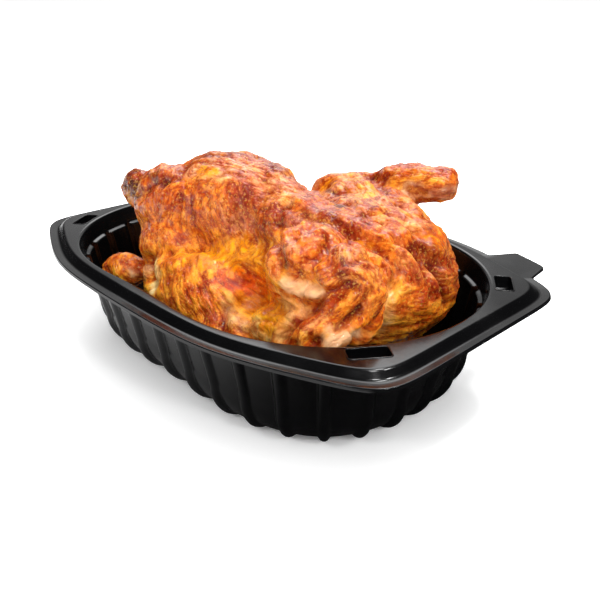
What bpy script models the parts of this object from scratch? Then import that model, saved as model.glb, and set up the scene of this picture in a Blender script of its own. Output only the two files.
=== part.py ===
"""Fluted plastic take-away tray with a whole roast chicken lying in it.

Frame: origin on the table under the middle of the tray, +X along the tray's length towards the
end where the pull tab is, +Y towards the tab's side, +Z up.  Lengths below are in millimetres and
become metres where a mesh is made.  The tray is one thin shell: a flat floor, a tapered wall with
upright ribs, a ledge below the opening, a flat raised rim with eight sides and four lid slots, and
a narrow flange with one pull tab.  The chicken is one solid: its muscles are rounded lobes that
are fused, creased along the folds of its skin and roughened.
"""

import math

import bmesh
import bpy
import numpy as np
from mathutils import Euler, Matrix, Vector, noise

NAME = "rotisserie_chicken_container"
MM = 0.001

# Tray: heights above the table
RIM_Z = 62.0
SHEET = 1.0
LEDGE_DROP = 9.3
LEDGE_INSET = 0.3
LEDGE_ROUND = 1.0
OPENING_ROUND = 1.2
RISER_DROP = 2.9
FLANGE_DROP = 0.5
LIP_DROP = 1.0

# Tray: outlines, each a radius about the z axis as a function of the angle
OPENING_MEAN = 103.0
OPENING_OVAL = 0.2155
OPENING_SQUARE = -0.0121
FOOT_HALF_LENGTH = 106.8
FOOT_HALF_WIDTH = 67.8
FOOT_EXPONENT = 3.26
RIM_HALF_LENGTH = 129.4
RIM_HALF_WIDTH = 85.4
RIM_OBLIQUE = 102.8
OBLIQUE_ANGLE = math.radians(67.9)
CORNER_POWER = 20

# Tray: ribs of the wall, each in an upright plane square to the opening
RIB_COUNT = 32
RIB_DEPTH = 2.6
RIB_CROWN = 0.05
RIB_FOOT = 0.16
RIB_EDGE_RADIUS = 22.6
PANEL_EDGE_RADIUS = 25.0
EDGE_STEPS = 5
FLOOR_SHRINK = 0.9
NORMAL_STEP = 0.001
WALL_PASSES = 14
STEEPEST = 0.3

# Tray: rim, flange and tab, as distances outwards from the rim's outer edge
RIM_BEVEL = 0.8
RISER_OUT = 3.1
FLANGE_OUT = 8.2
LIP_OUT = 8.7
TAB_REACH = 15.8
TAB_START = 51.0
TAB_END = 81.5
TAB_CORNER = 4.0
TAB_NECK = 3.0
TAB_STEP = 0.4
TAB_LEAN_START = 0.15
TAB_LEAN_END = 0.45

# Tray: lid slots through the rim, near its four corners
SLOT_X = 115.4
SLOT_Y = 49.1
SLOT_WIDTH = 8.2
SLOT_LENGTH = 17.5
SLOT_TURN = math.radians(-35.0)
SLOT_CORNER = 1.2
SLOT_CUT_HEIGHT = 12.0

# Chicken: fused lobes, each with its centre, its three radii, and its turn and tilt in degrees
LOBES = {
    "belly": ((6, 6, 43.4), (76, 45, 46), 0, 0),
    "breast": ((58, 8, 61.4), (47, 48, 37), 8, 0),
    "far_breast": ((45, 32, 67.4), (50, 26, 33), -12, 0),
    "rump": ((-36, 0, 44.4), (44, 44, 45), 0, 0),
    "near_thigh": ((-19, -6, 82.4), (44, 28, 29), 6, -4),
    "thigh_crest": ((4.5, 0, 97.4), (16.5, 12, 12.5), 0, -16),
    "saddle": ((32, -5, 84.9), (24, 21, 14.5), 0, 0),
    "near_drumstick": ((-50, -26, 80.4), (28, 18, 22), 10, 4),
    "near_knuckle": ((-75.5, -31.5, 85.6), (10, 8.5, 11), 0, 0),
    "near_flank": ((-14, -38, 39.4), (48, 22, 27), -4, 0),
    "low_flank": ((14, -46, 31.4), (36, 15, 19), 0, 0),
    "flank_bridge": ((-42, -34, 59.4), (24, 16, 18), 0, 0),
    "wing_shoulder": ((62, -33, 75.4), (21, 18, 23), 10, 0),
    "wing_elbow": ((88, -33, 71.4), (17, 15, 23), 0, 0),
    "wing_tip": ((69, -45, 51.4), (33, 12, 14), -6, 18),
    "tail_knuckle": ((-70, -50, 42.4), (15, 10, 10), 25, 8),
    "far_thigh": ((-34, 30, 61.4), (38, 22, 28), -10, 0),
    "far_shoulder": ((26, 38, 81.8), (26, 16, 16), 0, -6),
    "far_neck": ((85, 17, 78), (15, 16, 15), 0, 0),
    "far_wing_root": ((30, 44, 92), (16, 9, 9.5), 8, 6),
    "far_wing": ((57, 50, 99.9), (26, 10, 10), 4, 6),
    "far_wing_end": ((73, 54, 101), (10.5, 8.5, 10.5), 4, 6),
}
LOBE_SEGMENTS = 32
LOBE_RINGS = 18
FUSE_VOXEL = 2.4
FUSE_SMOOTHING = 7

# Chicken: folds of the skin, each a line of points with its depth and its width
FOLDS = {
    "outer_neck_fold": ([(92, 30, 93.4), (100, -8, 89.4), (103, -28, 67.4), (98, -40, 43.4)], 4.0, 4.0),
    "inner_neck_fold": ([(70, 20, 101.4), (88, -14, 95.4), (95, -34, 79.4), (92, -46, 51.4)], 3.5, 4.0),
    "shoulder_hollow": ([(34, -22, 97.4), (36, -38, 79.4), (40, -46, 63.4)], 3.0, 4.5),
    "wing_crease": ([(44, -54, 43.4), (64, -56, 51.4), (84, -50, 65.4)], 3.5, 3.5),
    "thigh_hollow": ([(8, -30, 89.4), (12, -40, 71.4), (16, -48, 55.4)], 2.5, 6.0),
    "thigh_seam": ([(-58, -46, 61.4), (-30, -50, 59.4), (0, -48, 61.4)], 1.5, 4.0),
    "back_seam": ([(-50, 8, 95.4), (-20, 20, 97.4), (12, 22, 99.4)], 4.0, 5.0),
    "far_wing_root": ([(44, 40, 101.4), (56, 40, 97.4), (70, 42, 91.4)], 3.5, 4.0),
}
CRAG_SIZE = 9.0
CRAG_HEIGHT = 1.1
BIRD_FLOOR_GAP = 0.5
BIRD_TRIANGLES = 5500

BLACK_PLASTIC = ((0.012, 0.012, 0.013, 1.0), 0.22)
ROAST_SKIN = ((0.56, 0.20, 0.045, 1.0), 0.32)


def remove_old_objects():
    """Empty the scene."""
    for old in list(bpy.data.objects):
        bpy.data.objects.remove(old, do_unlink=True)


def new_collection(name):
    """Make a collection in the scene."""
    collection = bpy.data.collections.new(name)
    bpy.context.scene.collection.children.link(collection)
    return collection


def new_material(name, look):
    """Make a Principled material from a colour and a roughness."""
    colour, roughness = look
    material = bpy.data.materials.new(name)
    material.use_nodes = True
    shader = material.node_tree.nodes["Principled BSDF"]
    shader.inputs["Base Color"].default_value = colour
    shader.inputs["Roughness"].default_value = roughness
    shader.inputs["Metallic"].default_value = 0.0
    material.diffuse_color = colour
    return material


def new_object(name, mesh, collection, look=None):
    """Put a mesh into a collection as an object, with a material of its own."""
    made = bpy.data.objects.new(name, mesh)
    collection.objects.link(made)
    if look is not None:
        made.data.materials.append(new_material(name + "_finish", look))
    return made


def frozen(source, name, collection):
    """Replace an object by a mesh object of its evaluated shape."""
    depsgraph = bpy.context.evaluated_depsgraph_get()
    mesh = bpy.data.meshes.new_from_object(source.evaluated_get(depsgraph))
    bpy.data.objects.remove(source, do_unlink=True)
    return new_object(name, mesh, collection)


def smooth_step(value):
    """Rise from 0 to 1 with level ends."""
    value = np.clip(value, 0.0, 1.0)
    return value * value * (3.0 - 2.0 * value)


# ---------------------------------------------------------------- tray


def opening_radius(angle):
    """Oval opening: a mean radius with a two-fold and a four-fold wave."""
    wave = OPENING_OVAL * np.cos(2 * angle) + OPENING_SQUARE * np.cos(4 * angle)
    return OPENING_MEAN * (1.0 + wave)


def foot_radius(angle):
    """Outline of the wall carried down to the table: a superellipse."""
    along = np.abs(np.cos(angle)) / FOOT_HALF_LENGTH
    across = np.abs(np.sin(angle)) / FOOT_HALF_WIDTH
    return (along**FOOT_EXPONENT + across**FOOT_EXPONENT) ** (-1.0 / FOOT_EXPONENT)


def octagon_radius(angle, out):
    """Eight-sided rim outline moved outwards, its corners rounded by power means."""
    cosine = np.abs(np.cos(angle))
    sine = np.abs(np.sin(angle))
    slant = cosine * math.cos(OBLIQUE_ANGLE) + sine * math.sin(OBLIQUE_ANGLE)
    side = (sine / (RIM_HALF_WIDTH + out)) ** CORNER_POWER
    oblique = (slant / (RIM_OBLIQUE + out)) ** CORNER_POWER
    end = (cosine / (RIM_HALF_LENGTH + out)) ** CORNER_POWER
    return (side + oblique + end) ** (-1.0 / CORNER_POWER)


def ring(radius, angle, height):
    """Points of one level outline."""
    height = np.broadcast_to(height, angle.shape)
    return np.stack([radius * np.cos(angle), radius * np.sin(angle), height], axis=1)


def angle_of_arc(share):
    """Angle at a share of the opening's length, so that ribs are spaced evenly."""
    angle = np.linspace(0.0, 2 * math.pi, 721)
    line = ring(opening_radius(angle), angle, 0.0)
    steps = np.linalg.norm(np.diff(line, axis=0), axis=1)
    length = np.concatenate([[0.0], np.cumsum(steps)])
    return np.interp(share, length / length[-1], angle)


def tab_position(point):
    """Distance along the oblique side that carries the tab."""
    return point[:, 0] * math.sin(OBLIQUE_ANGLE) - point[:, 1] * math.cos(OBLIQUE_ANGLE)


def rib_places():
    """Shares of the way round at each rib's four edges, and beside both ends of the tab."""
    rib = np.arange(RIB_COUNT)[:, None]
    edges = np.array([-RIB_FOOT, -RIB_CROWN, RIB_CROWN, RIB_FOOT])
    share = ((rib + edges) / RIB_COUNT).ravel() % 1.0
    fine = np.linspace(0.0, 0.25, 4001)
    angle = angle_of_arc(fine)
    position = tab_position(ring(octagon_radius(angle, FLANGE_OUT), angle, 0.0))
    wanted = [TAB_START - TAB_NECK, TAB_START, TAB_START + TAB_NECK]
    wanted += [TAB_END - TAB_STEP - TAB_CORNER, TAB_END - TAB_STEP, TAB_END + TAB_STEP]
    extra = [fine[np.argmin(np.abs(position - place))] for place in wanted]
    return np.sort(np.concatenate([share, extra]))


def rib_height(share):
    """1 on a rib's crown, 0 on the panels between ribs."""
    place = np.abs((share * RIB_COUNT + 0.5) % 1.0 - 0.5)
    return smooth_step((RIB_FOOT - place) / (RIB_FOOT - RIB_CROWN))


def wall_radius(angle, height, edge_radius):
    """Radius of the wall: straight from the foot to the opening, rounded in to the floor."""
    foot = foot_radius(angle)
    straight = foot + (opening_radius(angle) - foot) * np.maximum(height, edge_radius) / RIM_Z
    lean = np.clip(1.0 - height / edge_radius, 0.0, 1.0)
    return straight - edge_radius * (1.0 - np.sqrt(1.0 - lean**2))


def wall_ring(angle, height, edge_radius, panel):
    """Where upright planes, square to the opening at these angles, meet the wall at a height."""
    before = ring(opening_radius(angle - NORMAL_STEP), angle - NORMAL_STEP, 0.0)
    after = ring(opening_radius(angle + NORMAL_STEP), angle + NORMAL_STEP, 0.0)
    run = after - before
    inwards = np.stack([-run[:, 1], run[:, 0]], axis=1)
    inwards /= np.linalg.norm(inwards, axis=1)[:, None]
    start = ring(opening_radius(angle), angle, 0.0)[:, :2]
    gap = np.zeros(len(angle))
    for _ in range(WALL_PASSES):
        place = start + inwards * gap[:, None]
        reach = np.linalg.norm(place, axis=1)
        there = np.arctan2(place[:, 1], place[:, 0])
        square = -np.sum(place * inwards, axis=1) / reach
        excess = reach - wall_radius(there, height, edge_radius) + panel
        gap += excess / np.maximum(square, STEEPEST)
    place = start + inwards * gap[:, None]
    height = np.broadcast_to(SHEET + height, angle.shape)
    return np.column_stack([place, height])


def with_tab(line):
    """Push an outline of the flange out to the tab's end, and lean the tab to one side."""
    position = tab_position(line)
    neck = smooth_step((position - TAB_START + TAB_NECK) / (2 * TAB_NECK))
    side = smooth_step((TAB_END - position + TAB_STEP) / (2 * TAB_STEP))
    corner = np.clip((TAB_CORNER - TAB_END + position) / TAB_CORNER, 0.0, 1.0)
    reach = neck * side * (TAB_REACH - TAB_CORNER * (1.0 - np.sqrt(1.0 - corner**2)))
    reach = np.where(line[:, 1] > 0.0, reach, 0.0)
    along = np.clip((position - TAB_START) / (TAB_END - TAB_START), 0.0, 1.0)
    lean = reach * (TAB_LEAN_START + (TAB_LEAN_END - TAB_LEAN_START) * along)
    line = line.copy()
    line[:, 0] += reach * math.cos(OBLIQUE_ANGLE) - lean * math.sin(OBLIQUE_ANGLE)
    line[:, 1] += reach * math.sin(OBLIQUE_ANGLE) + lean * math.cos(OBLIQUE_ANGLE)
    return line


def tray_rings():
    """Outlines of the tray's upper face, from the floor outwards to the flange's lip."""
    share = rib_places()
    angle = angle_of_arc(share)
    rib = rib_height(share)
    panel = RIB_DEPTH * (1.0 - rib)
    edge_radius = PANEL_EDGE_RADIUS + (RIB_EDGE_RADIUS - PANEL_EDGE_RADIUS) * rib
    lines = []
    for step in range(EDGE_STEPS + 1):
        turn = math.radians(90.0) * (1.0 - step / EDGE_STEPS)
        height = edge_radius * (1.0 - math.sin(turn))
        lines.append(wall_ring(angle, height, edge_radius, panel))
    floor = lines[0] * (FLOOR_SHRINK, FLOOR_SHRINK, 1.0)
    lines.insert(0, floor)
    ledge = RIM_Z - SHEET - LEDGE_DROP
    lines.append(wall_ring(angle, ledge - LEDGE_ROUND, edge_radius, panel))
    lines.append(wall_ring(angle, ledge, edge_radius, LEDGE_INSET))
    opening = opening_radius(angle)
    lines.append(ring(opening, angle, RIM_Z - OPENING_ROUND))
    lines.append(ring(opening + OPENING_ROUND, angle, RIM_Z))
    lines.append(ring(octagon_radius(angle, -RIM_BEVEL), angle, RIM_Z))
    lines.append(ring(octagon_radius(angle, 0.0), angle, RIM_Z - RIM_BEVEL))
    lines.append(ring(octagon_radius(angle, RISER_OUT), angle, RIM_Z - RISER_DROP))
    flange = ring(octagon_radius(angle, FLANGE_OUT), angle, RIM_Z - RISER_DROP - FLANGE_DROP)
    lines.append(with_tab(flange))
    lip = ring(octagon_radius(angle, LIP_OUT), angle, RIM_Z - RISER_DROP - LIP_DROP)
    lines.append(with_tab(lip))
    return lines


def slot_cutter(x_side, y_side, collection):
    """A rounded block that cuts one lid slot through the rim."""
    bpy.ops.mesh.primitive_cube_add(size=1.0)
    cutter = bpy.context.object
    for owner in cutter.users_collection:
        owner.objects.unlink(cutter)
    collection.objects.link(cutter)
    cutter.name = f"slot_cutter_{'left' if x_side < 0 else 'right'}_{'near' if y_side < 0 else 'far'}"
    size = Matrix.Diagonal((SLOT_WIDTH * MM, SLOT_LENGTH * MM, SLOT_CUT_HEIGHT * MM, 1.0))
    turn = Matrix.Rotation(-x_side * y_side * SLOT_TURN, 4, "Z")
    place = Matrix.Translation((x_side * SLOT_X * MM, y_side * SLOT_Y * MM, RIM_Z * MM))
    cutter.data.transform(place @ turn @ size)
    bevel = cutter.modifiers.new("rounded corners", "BEVEL")
    bevel.width = SLOT_CORNER * MM
    bevel.segments = 2
    cutter.hide_render = True
    cutter.display_type = "WIRE"
    return cutter


def build_tray(parts, cutters):
    """Loft the tray's upper face, give it the sheet's thickness and cut the slots."""
    lines = tray_rings()
    count = len(lines[0])
    shell = bmesh.new()
    grid = [[shell.verts.new(Vector(point) * MM) for point in line] for line in lines]
    for low, high in zip(grid, grid[1:]):
        for i in range(count):
            j = (i + 1) % count
            shell.faces.new((low[j], low[i], high[i], high[j]))
    shell.faces.new(grid[0])
    mesh = bpy.data.meshes.new("tray")
    shell.to_mesh(mesh)
    shell.free()
    tray = new_object("tray", mesh, parts, BLACK_PLASTIC)
    wall = tray.modifiers.new("sheet thickness", "SOLIDIFY")
    wall.thickness = SHEET * MM
    wall.offset = -1.0
    for x_side in (-1, 1):
        for y_side in (-1, 1):
            cut = tray.modifiers.new("lid slot", "BOOLEAN")
            cut.operation = "DIFFERENCE"
            cut.object = slot_cutter(x_side, y_side, cutters)
    tray.data.shade_smooth()
    tray.data.set_sharp_from_angle(angle=math.radians(40.0))
    return tray


# ---------------------------------------------------------------- chicken


def fused_lobes(collection):
    """Join the rounded lobes into one closed skin."""
    body = bmesh.new()
    for centre, radii, turn, tilt in LOBES.values():
        place = Matrix.Translation(Vector(centre) * MM)
        spin = Euler((0.0, math.radians(-tilt), math.radians(turn)), "XYZ").to_matrix().to_4x4()
        size = Matrix.Diagonal((radii[0] * MM, radii[1] * MM, radii[2] * MM, 1.0))
        bmesh.ops.create_uvsphere(
            body,
            u_segments=LOBE_SEGMENTS,
            v_segments=LOBE_RINGS,
            radius=1.0,
            matrix=place @ spin @ size,
        )
    mesh = bpy.data.meshes.new("lobes")
    body.to_mesh(mesh)
    body.free()
    lobes = new_object("lobes", mesh, collection)
    fuse = lobes.modifiers.new("fuse", "REMESH")
    fuse.mode = "VOXEL"
    fuse.voxel_size = FUSE_VOXEL * MM
    soften = lobes.modifiers.new("soften", "SMOOTH")
    soften.factor = 0.5
    soften.iterations = FUSE_SMOOTHING
    return frozen(lobes, "fused", collection)


def distance_to_line(points, line):
    """Distance of every point to a broken line."""
    nearest = np.full(len(points), np.inf)
    for start, end in zip(line, line[1:]):
        start = np.array(start, dtype=float)
        run = np.array(end, dtype=float) - start
        along = np.clip((points - start) @ run / (run @ run), 0.0, 1.0)
        gap = np.linalg.norm(points - start - along[:, None] * run, axis=1)
        nearest = np.minimum(nearest, gap)
    return nearest


def crag(point):
    """Uneven roughness of the roast skin, between -1 and 1."""
    return noise.fractal(Vector(point) / CRAG_SIZE, 0.8, 2.0, 2)


def shape_skin(mesh):
    """Press the folds in, roughen the skin and flatten what rests on the floor."""
    count = len(mesh.vertices)
    points = np.empty(count * 3)
    normals = np.empty(count * 3)
    mesh.vertices.foreach_get("co", points)
    mesh.vertices.foreach_get("normal", normals)
    points = points.reshape(-1, 3) / MM
    normals = normals.reshape(-1, 3)
    lift = np.array([crag(point) for point in points]) * CRAG_HEIGHT
    for line, depth, width in FOLDS.values():
        lift -= depth * np.exp(-((distance_to_line(points, line) / width) ** 2))
    points += normals * lift[:, None]
    points[:, 2] = np.maximum(points[:, 2], SHEET + BIRD_FLOOR_GAP)
    mesh.vertices.foreach_set("co", (points * MM).ravel())
    mesh.update()


def build_chicken(parts, scratch):
    """Make the whole bird as one closed solid with few enough faces."""
    fused = fused_lobes(scratch)
    shape_skin(fused.data)
    triangles = sum(len(face.vertices) - 2 for face in fused.data.polygons)
    thin = fused.modifiers.new("fewer faces", "DECIMATE")
    thin.ratio = BIRD_TRIANGLES / triangles
    thin.use_collapse_triangulate = True
    chicken = frozen(fused, "chicken", parts)
    chicken.data.name = "chicken"
    chicken.data.materials.clear()
    chicken.data.materials.append(new_material("chicken_finish", ROAST_SKIN))
    chicken.data.shade_smooth()
    return chicken


def main():
    remove_old_objects()
    parts = new_collection(NAME)
    cutters = new_collection("cutters")
    build_tray(parts, cutters)
    build_chicken(parts, cutters)


main()
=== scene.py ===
"""Take-away roast chicken: a black fluted tray with a whole browned bird in it.

Laid out as an add-on for Blender: property groups hold the sizes and colours, one operator makes
each piece and one the stage, and a panel lists them.  Run as a script it makes everything once.
Lengths in the tables below are in millimetres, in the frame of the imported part.  Image points are in
pixels of the camera's own view, from its upper left corner.
"""

import itertools
import math

import bpy
import numpy as np
from bpy.props import FloatProperty, FloatVectorProperty, IntProperty, PointerProperty
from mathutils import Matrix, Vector
from mathutils.bvhtree import BVHTree


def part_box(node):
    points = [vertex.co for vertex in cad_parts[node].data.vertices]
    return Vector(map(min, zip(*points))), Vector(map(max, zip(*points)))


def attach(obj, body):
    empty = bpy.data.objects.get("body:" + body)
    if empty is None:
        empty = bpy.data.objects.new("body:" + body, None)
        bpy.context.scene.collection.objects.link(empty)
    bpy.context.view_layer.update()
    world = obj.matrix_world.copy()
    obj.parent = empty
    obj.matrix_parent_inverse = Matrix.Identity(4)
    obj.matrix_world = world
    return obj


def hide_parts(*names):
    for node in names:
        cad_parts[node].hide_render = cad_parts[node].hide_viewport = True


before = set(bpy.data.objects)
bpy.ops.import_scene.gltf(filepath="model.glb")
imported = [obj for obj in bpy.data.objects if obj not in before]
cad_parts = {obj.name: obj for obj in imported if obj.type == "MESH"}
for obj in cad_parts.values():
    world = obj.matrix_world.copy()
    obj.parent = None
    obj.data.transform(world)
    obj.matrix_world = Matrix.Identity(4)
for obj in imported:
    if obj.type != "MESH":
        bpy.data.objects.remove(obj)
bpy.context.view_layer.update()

bl_info = {
    "name": "Roast chicken in its tray",
    "version": (1, 0, 0),
    "blender": (4, 5, 0),
    "location": "View3D > Sidebar > Roast chicken",
    "description": "Models a black fluted take-away tray with a whole roast chicken",
    "category": "Add Mesh",
}

MM = 0.001

# ---- the view

IMAGE_CENTRE = 300.0
FOCAL_PIXELS = 655.0
SENSOR_MM = 36.0
CAMERA_PLACE = np.array([257.4, -220.4, 186.6])
CAMERA_HEADING = math.radians(136.5)
CAMERA_DIP = math.radians(24.8)

# ---- the light

# Heading, elevation, radius and soft edge in degrees, and brightness
STUDIO_WINDOWS = (
    (137, 47, 20, 6, 3.6),
    (137, 15, 26, 10, 0.5),
    (300, 62, 6, 3, 4),
    (20, 80, 4, 0.8, 40),
    (276, 44, 3, 0.8, 36),
    (100, 68, 3.2, 0.8, 53),
    (350, 38, 3.6, 0.8, 41),
    (60, 64, 2.4, 0.8, 86),
)
# The same for broad fills, which light matt faces but don't show in mirrors
STUDIO_FILLS = (
    (0, 82, 22, 8, 1.5),
    (325, 20, 55, 25, 0.8),
    (12, 20, 42, 20, 0.7),
    (272, 40, 20, 8, 1),
)
ROOM_IN_MIRRORS = 0.03

# The floor as mirrors show it, with painted shadow and light: dark under the tray, and pale past a distance
# in metres one way
FLOOR_PAINTED_SHADOW_FROM = -0.02
FLOOR_PALE_FROM = 0.16
FLOOR_PALE_HEADING = 226.5
FLOOR_PAINTED_SHADOW = 0.03
FLOOR_PALE = 0.85
FLOOR_WHITE = 0.93
FLOOR_TO_CAMERA = 1.3

# How far the floor lies below the tray, in millimetres
FLOOR_SINK = 0.15

# ---- the tray's outlines

OPENING_MEAN = 103.0
OPENING_OVAL = 0.2155
OPENING_SQUARE = -0.0121
FOOT_HALF_LENGTH = 106.8
FOOT_HALF_WIDTH = 67.8
FOOT_EXPONENT = 3.26
RIM_HALF_LENGTH = 129.4
RIM_HALF_WIDTH = 85.4
RIM_OBLIQUE = 102.8
OBLIQUE_ANGLE = math.radians(67.9)
CORNER_POWER = 20
RIB_CROWN = 0.03
RIB_FOOT = 0.17
RIB_EDGE_RADIUS = 22.6
PANEL_EDGE_RADIUS = 25.0
EDGE_STEPS = 16
FLOOR_RINGS = (0.02, 0.5, 0.9)
OPENING_STEPS = 1441
NORMAL_STEP = 0.001
WALL_PASSES = 14
STEEPEST = 0.3
LEDGE_DROP = 9.3
LEDGE_INSET = 0.3
LEDGE_ROUND = 1.0
OPENING_OUT = 0.2
RISER_OUT = 3.6
RISER_DROP = 3.2
FLANGE_OUT = 8.2
LIP_OUT = 8.6
FLANGE_DROP = -0.6
LIP_DROP = 1.0
LEDGE_FOOT_FILLET = 0.9
LEDGE_FILLET = 0.5
OPENING_FILLET = 1.6
RIM_FILLET = 1.1
RISER_FILLET = 1.4
FLANGE_FILLET = 0.5
FILLET_SHARE = 0.45
TAB_REACH = 15.7
TAB_START = 51.0
TAB_END = 81.5
TAB_CORNER = 4.5
TAB_NECK = 3.6
TAB_STEP = 0.6
TAB_LEAN_START = 0.15
TAB_LEAN_END = 0.45
SLOT_X = 115.4
SLOT_Y = 49.1
SLOT_WIDTH = 8.2
SLOT_LENGTH = 17.5
SLOT_TURN = math.radians(35.0)
SLOT_CORNER = 1.6
SLOT_DEPTH = 6.0
CUTTER_REACH = 4.0

# How far the pockets' rings stand out of the slot, and their height above the rim
CUP_PROFILE = (
    (0.55, -0.15), (0.5, 0.12), (0.3, 0.28), (0.05, 0.25), (-0.12, 0.05), (-0.15, -0.4),
    (-0.4, 0.6 - SLOT_DEPTH), (-1.0, -SLOT_DEPTH),
)
CUP_FLOOR_SHRINK = 0.55
CUP_SHEET = 0.5
SHARP_EDGE = math.radians(50.0)

# ---- the bird's muscles

# Centre, three radii, and turn and tilt in degrees
LOBES = {
    "belly": ((6, 6, 43.4), (76, 45, 46), 0, 0),
    "breast": ((58, 8, 61.4), (47, 48, 37), 8, 0),
    "far_breast": ((45, 32, 67.4), (50, 26, 33), -12, 0),
    "rump": ((-36, 0, 44.4), (44, 44, 45), 0, 0),
    "near_thigh": ((-19, -6, 82.4), (44, 28, 29), 6, -4),
    "thigh_crest": ((4.5, 0, 97.4), (16.5, 12, 12.5), 0, -16),
    "saddle": ((32, -5, 84.9), (24, 21, 14.5), 0, 0),
    "near_drumstick": ((-50, -26, 80.4), (28, 18, 22), 10, 4),
    "near_knuckle": ((-76.5, -31.5, 85), (11.5, 9.5, 12.5), 0, 0),
    "near_flank": ((-14, -38, 39.4), (48, 22, 27), -4, 0),
    "low_flank": ((14, -46, 31.4), (36, 15, 19), 0, 0),
    "flank_bridge": ((-42, -34, 59.4), (24, 16, 18), 0, 0),
    "wing_shoulder": ((65, -33, 75.4), (18.5, 18, 23), 10, 0),
    "wing_elbow": ((88, -33, 71.4), (17, 15, 23), 0, 0),
    "wing_tip": ((69, -45, 51.4), (33, 12, 14), -6, 18),
    "tail_knuckle": ((-70, -50, 42.4), (15, 10, 10), 25, 8),
    "far_thigh": ((-34, 30, 61.4), (38, 22, 28), -10, 0),
    "far_shoulder": ((26, 38, 81.8), (26, 16, 16), 0, -6),
    "far_neck": ((85, 17, 78), (15, 16, 15), 0, 0),
    "far_wing_root": ((30, 44, 92), (16, 9, 9.5), 8, 6),
    "far_wing": ((57, 50, 99.9), (26, 10, 10), 4, 6),
    "far_wing_end": ((72, 54, 101.8), (9, 8, 9.5), 4, 6),
    "crest_slope": ((21, -3, 93.2), (17, 11, 9), 0, -30),
}
LOBE_ACROSS = 48
LOBE_UP = 28
LOBE_POLE_GAP = 0.04

# Folds of the skin on the side that shows first: depth, width and image points
SEEN_FOLDS = {
    "outer_neck_fold": (4.2, 2.6, (411, 246), (434, 268), (443, 298), (436, 330)),
    "inner_neck_fold": (3.2, 2.0, (398, 244), (420, 262), (432, 296), (428, 334)),
    "wing_edge": (3.4, 2.4, (350, 232), (376, 245), (396, 266), (393, 288), (383, 308), (362, 332)),
    "shoulder_edge": (3.4, 2.4, (284, 206), (277, 224), (275, 246), (284, 266), (300, 278), (320, 288)),
    "shoulder_swirl": (1.4, 1.8, (296, 240), (304, 228), (320, 226), (330, 240), (322, 258), (306, 262)),
    "shoulder_top": (1.8, 2.2, (286, 206), (300, 213), (322, 222), (350, 236)),
    "wing_arm_crease": (3.6, 2.0, (313, 344), (336, 330), (356, 312), (366, 296)),
    "wing_arm_top": (3.4, 2.2, (282, 340), (306, 312), (330, 292), (352, 284)),
    "elbow_inner": (1.6, 2.0, (352, 262), (368, 258), (382, 268), (386, 286)),
    "thigh_underside": (1.0, 3.0, (146, 262), (176, 254), (206, 252), (232, 256)),
    "saucy_hollow": (1.5, 7.0, (238, 272), (256, 288), (276, 300)),
    "neck_middle_fold": (2.8, 1.8, (386, 214), (414, 232), (440, 258), (452, 290), (446, 322)),
    "neck_rim_fold": (1.6, 1.6, (424, 216), (448, 238), (462, 262), (462, 290)),
    "red_hollow": (1.8, 5.0, (238, 200), (238, 220), (242, 240)),
    "far_shoulder_root": (2.4, 2.6, (312, 190), (332, 200), (358, 212), (384, 222)),
    "far_wing_root": (2.8, 3.0, (372, 176), (386, 192), (404, 208)),
    "knuckle_neck": (2.4, 2.6, (150, 168), (150, 184), (142, 198)),
    "knob_neck": (2.6, 3.0, (150, 258), (152, 272), (140, 284)),
    "flank_seam": (2.2, 2.6, (222, 336), (226, 312), (240, 302)),
}

# Folds on the sides that show from elsewhere: depth, width and points in millimetres
HIDDEN_FOLDS = {
    "back_seam": (3.6, 4.0, (-54, 8, 93.4), (-20, 20, 99.4), (12, 22, 101.4)),
    "far_thigh_front": (4.0, 4.5, (-4, 40, 89.4), (-2, 50, 67.4), (-8, 50, 41.4)),
    "far_thigh_rear": (3.0, 3.5, (-66, 14, 85.4), (-70, 30, 63.4), (-62, 36, 39.4)),
    "far_neck_fold": (3.6, 3.0, (88, 34, 89.4), (92, 42, 65.4), (84, 44, 39.4)),
    "far_breast_fold": (2.8, 3.0, (56, 54, 83.4), (62, 56, 59.4), (54, 52, 35.4)),
    "rump_split": (3.4, 4.0, (-80, 4, 71.4), (-82, 2, 49.4), (-78, 2, 27.4)),
}

# A fold's edge wanders by this much, in patches of this size
FOLD_WANDER = 1.6
FOLD_WANDER_SIZE = 7.0

# The bank beside a fold: height as a share of its depth, distance and width as shares of its width
BANK_HEIGHT = 0.35
BANK_DISTANCE = 2.4
BANK_WIDTH = 1.3

# The step through the noise that one spacing across the strands takes
STRAND_STEP = np.array([0.62, 0.55, 0.56])

# Fine creases between the strands: spacing, length and seed
COARSE_CREASES = (5.5, 17.0, 24)
FINE_CREASES = (2.8, 10.0, 25)

# The crust: height, size, seed and number of octaves
BROAD_CRAGS = (1.1, 17.0, 31, 2)
MIDDLE_CRAGS = (0.55, 6.5, 41, 3)
FINE_CRAGS = (0.22, 2.8, 51, 2)

# Guide lines beside which the skin's strands run
SEEN_GUIDES = {
    "drumstick": ((148, 178), (144, 215), (152, 250)),
    "red_hollow": ((232, 186), (236, 212), (250, 244)),
    "flank": ((180, 258), (178, 285), (196, 322)),
    "thigh": ((182, 196), (176, 224), (192, 250)),
    "crest": ((186, 162), (246, 176), (300, 197), (352, 216)),
    "shoulder": ((292, 262), (290, 236), (304, 218), (330, 214), (348, 236)),
    "shoulder_eye": ((312, 252), (326, 246), (322, 264)),
    "elbow": ((354, 246), (384, 256), (391, 280), (376, 316)),
    "wing_arm": ((284, 344), (322, 312), (350, 290)),
    "neck_inner": ((372, 224), (404, 244), (426, 282), (428, 334)),
    "neck_outer": ((380, 208), (424, 228), (452, 266), (446, 318)),
    "sauce": ((238, 272), (262, 290), (290, 316)),
    "far_shoulder": ((318, 178), (344, 182), (372, 204)),
    "far_wing": ((384, 176), (416, 172), (452, 178)),
    "far_wing_low": ((404, 194), (430, 198), (452, 194)),
}
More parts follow.
